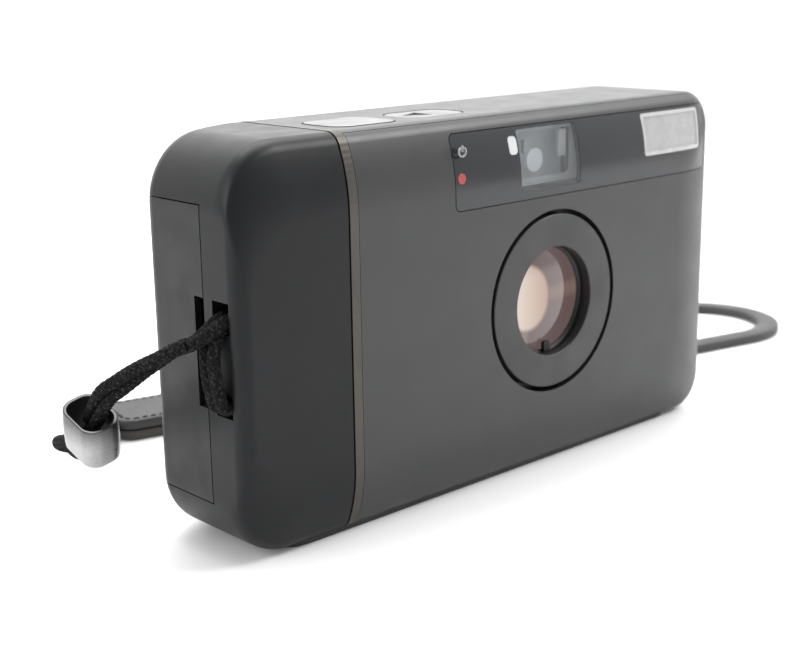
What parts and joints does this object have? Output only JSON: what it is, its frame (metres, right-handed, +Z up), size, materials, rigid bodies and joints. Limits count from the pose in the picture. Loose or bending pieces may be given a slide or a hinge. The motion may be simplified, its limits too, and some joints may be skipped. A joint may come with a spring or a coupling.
{
  "type": "compact film camera",
  "caption": "Compact 35 mm autofocus film camera: rounded body, retracting lens, hinged film and battery doors, top buttons and a leather wrist strap.",
  "frame": {"origin": "centre of the camera body's footprint, on the table plane under the foot", "axes": "+Z up, -Y out of the lens, +X towards the window end away from the grip"},
  "size_m": [0.2018, 0.082, 0.0631],
  "materials": {
    "body_plastic": "fine satin paint on moulded plastic",
    "grip_plastic": "fine satin paint on moulded plastic",
    "strip_metal": "bronze-grey satin anodised strip",
    "dark_plastic": "plain black moulding",
    "bezel_plastic": "satin painted ring",
    "smoke_panel": "semi-gloss smoked panel",
    "clear_window": "clear window",
    "red_lens": "small red lamp",
    "coated_glass": "amber-pink coated glass",
    "bright_metal": "polished",
    "steel": "plain steel",
    "black_steel": "blackened sheet",
    "capacitor_sleeve": "shrink sleeve",
    "brass": "turned brass",
    "nylon": "natural nylon",
    "button_silver": "satin silver",
    "battery_sleeve": "printed sleeve, left plain",
    "board": "solder mask",
    "lcd": "liquid crystal display",
    "cord_fabric": "braided cord",
    "leather": "black leather"
  },
  "bodies": {
    "root": {"front_cover": "body_plastic", "top_cover": "body_plastic", "grip_cap": "grip_plastic", "accent_strip": "strip_metal", "base_plate": "grip_plastic", "hinge_post": "grip_plastic", "window_panel": "smoke_panel", "viewfinder_window": "clear_window", "flash_lens": "clear_window", "self_timer_led": "red_lens", "viewfinder_tunnel": "dark_plastic", "eyepiece": "clear_window", "af_module": "dark_plastic", "flash_reflector": "bright_metal", "flash_tube": "clear_window", "flash_capacitor": "capacitor_sleeve", "chassis": "dark_plastic", "lens_guide_tube": "dark_plastic", "lens_motor": "steel", "film_motor": "steel", "dx_contacts": "brass", "battery": "battery_sleeve", "battery_contacts": "brass", "main_board": "board", "lcd_panel": "lcd", "tripod_bush": "brass", "casing_screws": "steel", "strap_hitch": "cord_fabric"},
    "lens_barrel": {"lens_barrel": "dark_plastic", "barrel_bezel": "bezel_plastic", "cover_glass": "coated_glass", "front_lens": "coated_glass", "shutter_plate": "black_steel", "rear_lens": "coated_glass"},
    "lens_drive_ring": {"lens_drive_ring": "dark_plastic"},
    "lens_motor_pinion": {"lens_motor_pinion": "brass"},
    "shutter_blade_a": {"shutter_blade_a": "black_steel"},
    "shutter_blade_b": {"shutter_blade_b": "black_steel"},
    "takeup_spool": {"takeup_spool": "dark_plastic"},
    "film_motor_pinion": {"film_motor_pinion": "brass"},
    "reduction_gear": {"reduction_gear": "nylon"},
    "rewind_gear_1": {"rewind_gear_1": "nylon"},
    "rewind_gear_2": {"rewind_gear_2": "nylon"},
    "rewind_gear_3": {"rewind_gear_3": "nylon"},
    "rewind_fork": {"rewind_fork": "dark_plastic"},
    "film_door": {"film_door": "body_plastic", "film_door_pin": "steel", "film_window": "clear_window", "pressure_spring": "steel"},
    "pressure_plate": {"pressure_plate": "black_steel"},
    "door_latch": {"door_latch": "button_silver"},
    "battery_door": {"battery_door": "body_plastic", "battery_door_pin": "steel"},
    "shutter_button": {"shutter_button": "button_silver"},
    "power_button": {"power_button": "button_silver"},
    "mode_button": {"mode_button": "button_silver"},
    "zoom_rocker": {"zoom_rocker": "dark_plastic"},
    "strap": {"strap_cord": "cord_fabric", "strap_clasp": "bright_metal", "strap_band": "leather"}
  },
  "joints": [
    {"name": "lens_extend", "type": "slide", "parent": "root", "child": "lens_barrel", "axis": [0, -1, 0], "range_m": [0, 0.008]},
    {"name": "lens_drive", "type": "hinge", "parent": "root", "child": "lens_drive_ring", "pos_m": [0.01, 0, 0.03], "axis": [0, -1, 0], "range_deg": [0, 110]},
    {"name": "lens_motor_turn", "type": "hinge", "parent": "root", "child": "lens_motor_pinion", "pos_m": [-0.00414, 0.0039, 0.01586], "axis": [0, -1, 0], "range_deg": [-804, 0]},
    {"name": "shutter_blade_a_turn", "type": "hinge", "parent": "lens_barrel", "child": "shutter_blade_a", "pos_m": [0.0015, -0.004, 0.03], "axis": [0, -1, 0], "range_deg": [0, 65]},
    {"name": "shutter_blade_b_turn", "type": "hinge", "parent": "lens_barrel", "child": "shutter_blade_b", "pos_m": [0.0185, -0.0036, 0.03], "axis": [0, -1, 0], "range_deg": [-65, 0]},
    {"name": "takeup_turn", "type": "hinge", "parent": "root", "child": "takeup_spool", "pos_m": [-0.0223, 0.0013, 0.03], "axis": [0, 0, 1], "continuous": true},
    {"name": "film_motor_turn", "type": "hinge", "parent": "root", "child": "film_motor_pinion", "pos_m": [-0.0223, 0.0013, 0.003], "axis": [0, 0, 1], "continuous": true},
    {"name": "reduction_turn", "type": "hinge", "parent": "root", "child": "reduction_gear", "pos_m": [-0.01461, 0.0035, 0.004], "axis": [0, 0, 1], "continuous": true},
    {"name": "rewind_1_turn", "type": "hinge", "parent": "root", "child": "rewind_gear_1", "pos_m": [-0.00141, 0.0035, 0.003], "axis": [0, 0, 1], "continuous": true},
    {"name": "rewind_2_turn", "type": "hinge", "parent": "root", "child": "rewind_gear_2", "pos_m": [0.01299, 0.0035, 0.003], "axis": [0, 0, 1], "continuous": true},
    {"name": "rewind_3_turn", "type": "hinge", "parent": "root", "child": "rewind_gear_3", "pos_m": [0.02736, -0.00004, 0.003], "axis": [0, 0, 1], "continuous": true},
    {"name": "rewind_fork_turn", "type": "hinge", "parent": "root", "child": "rewind_fork", "pos_m": [0.0421, 0.0013, 0.005], "axis": [0, 0, 1], "continuous": true},
    {"name": "film_door_swing", "type": "hinge", "parent": "root", "child": "film_door", "pos_m": [-0.0336, 0.0132, 0.026], "axis": [0, 0, 1], "range_deg": [0, 92]},
    {"name": "pressure_plate_float", "type": "slide", "parent": "film_door", "child": "pressure_plate", "axis": [0, 1, 0], "range_m": [0, 0.0003]},
    {"name": "door_latch_slide", "type": "slide", "parent": "root", "child": "door_latch", "axis": [0, 0, -1], "range_m": [0, 0.0024]},
    {"name": "battery_door_swing", "type": "hinge", "parent": "root", "child": "battery_door", "pos_m": [-0.0391, 0.0125, 0.031], "axis": [0, 0, -1], "range_deg": [0, 90]},
    {"name": "shutter_press", "type": "slide", "parent": "root", "child": "shutter_button", "axis": [0, 0, -1], "range_m": [0, 0.0009]},
    {"name": "power_press", "type": "slide", "parent": "root", "child": "power_button", "axis": [0, 0, -1], "range_m": [0, 0.0005]},
    {"name": "mode_press", "type": "slide", "parent": "root", "child": "mode_button", "axis": [0, -1, 0], "range_m": [0, 0.0005]},
    {"name": "zoom_rock", "type": "hinge", "parent": "root", "child": "zoom_rocker", "pos_m": [-0.0245, 0.0114, 0.0557], "axis": [0, 0, 1], "range_deg": [-5, 5]},
    {"name": "strap_swing", "type": "hinge", "parent": "root", "child": "strap", "pos_m": [-0.0623, -0.0098, 0.0315], "axis": [0, 0, 1], "range_deg": [0, 40]}
  ],
  "couplings": [
    {"joint": "lens_motor_turn", "follows": "lens_extend", "rad_per_m": -1752.7},
    {"joint": "lens_drive", "follows": "lens_extend", "rad_per_m": 239},
    {"joint": "shutter_blade_b_turn", "follows": "shutter_blade_a_turn", "ratio": -1},
    {"joint": "film_motor_turn", "follows": "takeup_turn", "ratio": 9},
    {"joint": "reduction_turn", "follows": "takeup_turn", "ratio": -3},
    {"joint": "rewind_1_turn", "follows": "takeup_turn", "ratio": 2.5},
    {"joint": "rewind_2_turn", "follows": "takeup_turn", "ratio": -2.5},
    {"joint": "rewind_3_turn", "follows": "takeup_turn", "ratio": 2.3684},
    {"joint": "rewind_fork_turn", "follows": "takeup_turn", "ratio": -2.5}
  ]
}
